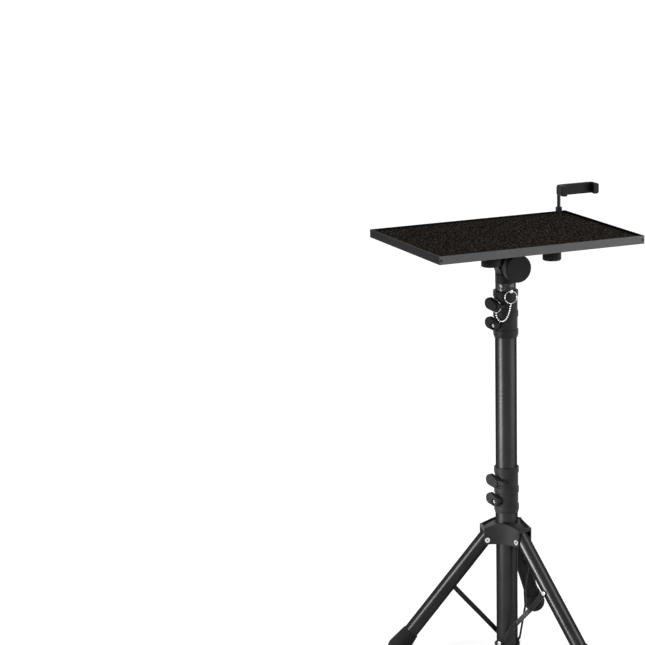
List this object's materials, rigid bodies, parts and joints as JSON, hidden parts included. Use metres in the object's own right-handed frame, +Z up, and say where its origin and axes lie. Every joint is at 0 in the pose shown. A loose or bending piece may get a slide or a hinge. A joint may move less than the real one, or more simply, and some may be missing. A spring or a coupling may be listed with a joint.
{
  "type": "tripod projector stand",
  "caption": "Portable tripod stand with a tilting rimmed tray, telescoping column, folding braced legs, clamp knobs, chained locking pin and phone holder.",
  "frame": {"origin": "on the floor, under the axis of the column", "axes": "+Z up along the column, +X to the right along the tray's width, -Y towards the tray's front edge"},
  "size_m": [0.4424, 0.3724, 0.8005],
  "materials": {
    "tube_paint": "satin charcoal powder coat",
    "hammered_paint": "glossy hammered charcoal paint",
    "leg_paint": "satin black paint",
    "black_plastic": "fine grained black moulding",
    "holder_plastic": "matt black moulding",
    "bright_metal": "bright plated",
    "brace_steel": "dark plated steel strip",
    "bracket_paint": "black paint",
    "rim_paint": "satin dark grey coat",
    "board": "black laminated board",
    "mat": "speckled non-slip mat",
    "foot_rubber": "matt black rubber"
  },
  "bodies": {
    "column": {"main_tube": "tube_paint", "tube_plug": "black_plastic", "upper_collar": "black_plastic", "upper_collar_high_knob": "black_plastic", "upper_collar_low_knob": "black_plastic", "brace_ring": "black_plastic", "ring_rivets": "bright_metal", "chain_loop": "bright_metal", "bead_chain": "bright_metal"},
    "leg_carrier": {"leg_sleeve": "tube_paint", "lower_collar": "black_plastic", "lower_collar_high_knob": "black_plastic", "lower_collar_low_knob": "black_plastic", "leg_hub": "black_plastic", "hub_rivets": "bright_metal"},
    "mast": {"top_tube": "hammered_paint", "tilt_head": "black_plastic"},
    "tray": {"tray_bracket": "bracket_paint", "tilt_bolt": "bright_metal", "tilt_nut": "bright_metal", "thumb_knobs": "black_plastic", "tray_board": "board", "tray_mat": "mat", "front_rim": "rim_paint", "back_rim": "rim_paint", "left_rim": "rim_paint", "right_rim": "rim_paint", "phone_clip": "holder_plastic", "phone_arm": "bracket_paint", "phone_back": "holder_plastic", "phone_fixed_jaw": "holder_plastic"},
    "tilt_knob": {"tilt_knob": "black_plastic"},
    "phone_jaw": {"phone_sliding_jaw": "holder_plastic"},
    "pin": {"locking_pin": "bright_metal", "pin_ring": "bright_metal"},
    "rear_leg": {"rear_leg": "leg_paint", "rear_foot": "foot_rubber"},
    "rear_brace": {"rear_brace": "brace_steel", "rear_brace_rivet": "bright_metal"},
    "left_leg": {"left_leg": "leg_paint", "left_foot": "foot_rubber"},
    "left_brace": {"left_brace": "brace_steel", "left_brace_rivet": "bright_metal"},
    "right_leg": {"right_leg": "leg_paint", "right_foot": "foot_rubber"},
    "right_brace": {"right_brace": "brace_steel", "right_brace_rivet": "bright_metal"}
  },
  "joints": [
    {"name": "leg_fold", "type": "slide", "parent": "column", "child": "leg_carrier", "axis": [0, 0, 1], "range_m": [0, 0.0549]},
    {"name": "rear_leg_hinge", "type": "hinge", "parent": "leg_carrier", "child": "rear_leg", "pos_m": [0.02621, 0.02942, 0.20626], "axis": [-0.7466, 0.6652, 0], "range_deg": [0, 36.2]},
    {"name": "rear_brace_hinge", "type": "hinge", "parent": "column", "child": "rear_brace", "pos_m": [0.002, 0.00224, 0.013], "axis": [0.7466, -0.6652, 0], "range_deg": [0, 24.8]},
    {"name": "left_leg_hinge", "type": "hinge", "parent": "leg_carrier", "child": "left_leg", "pos_m": [-0.03858, 0.00799, 0.20626], "axis": [-0.2028, -0.9792, 0], "range_deg": [0, 36.2]},
    {"name": "left_brace_hinge", "type": "hinge", "parent": "column", "child": "left_brace", "pos_m": [-0.00294, 0.00061, 0.013], "axis": [0.2028, 0.9792, 0], "range_deg": [0, 24.8]},
    {"name": "right_leg_hinge", "type": "hinge", "parent": "leg_carrier", "child": "right_leg", "pos_m": [0.01237, -0.03741, 0.20626], "axis": [0.9494, 0.314, 0], "range_deg": [0, 36.2]},
    {"name": "right_brace_hinge", "type": "hinge", "parent": "column", "child": "right_brace", "pos_m": [0.00094, -0.00285, 0.013], "axis": [-0.9494, -0.314, 0], "range_deg": [0, 24.8]},
    {"name": "mast_slide", "type": "slide", "parent": "column", "child": "mast", "axis": [0, 0, 1], "range_m": [0, 0.275]},
    {"name": "tray_tilt", "type": "hinge", "parent": "mast", "child": "tray", "pos_m": [0, 0, 0.692], "axis": [0, 1, 0], "range_deg": [-30, 30]},
    {"name": "tilt_knob_turn", "type": "hinge", "parent": "tray", "child": "tilt_knob", "pos_m": [0, -0.025, 0.692], "axis": [0, -1, 0], "continuous": true},
    {"name": "phone_jaw_slide", "type": "slide", "parent": "tray", "child": "phone_jaw", "axis": [1, 0, 0], "range_m": [0, 0.02], "stiffness_N_per_m": 150, "springref_m": -0.01},
    {"name": "pin_pull", "type": "slide", "parent": "column", "child": "pin", "axis": [-0.165, -0.9863, 0], "range_m": [0, 0.016]}
  ],
  "couplings": [
    {"joint": "rear_leg_hinge", "follows": "leg_fold", "rad_per_m": 11.445},
    {"joint": "rear_brace_hinge", "follows": "leg_fold", "rad_per_m": 7.8435},
    {"joint": "left_leg_hinge", "follows": "leg_fold", "rad_per_m": 11.445},
    {"joint": "left_brace_hinge", "follows": "leg_fold", "rad_per_m": 7.8435},
    {"joint": "right_leg_hinge", "follows": "leg_fold", "rad_per_m": 11.445},
    {"joint": "right_brace_hinge", "follows": "leg_fold", "rad_per_m": 7.8435}
  ]
}
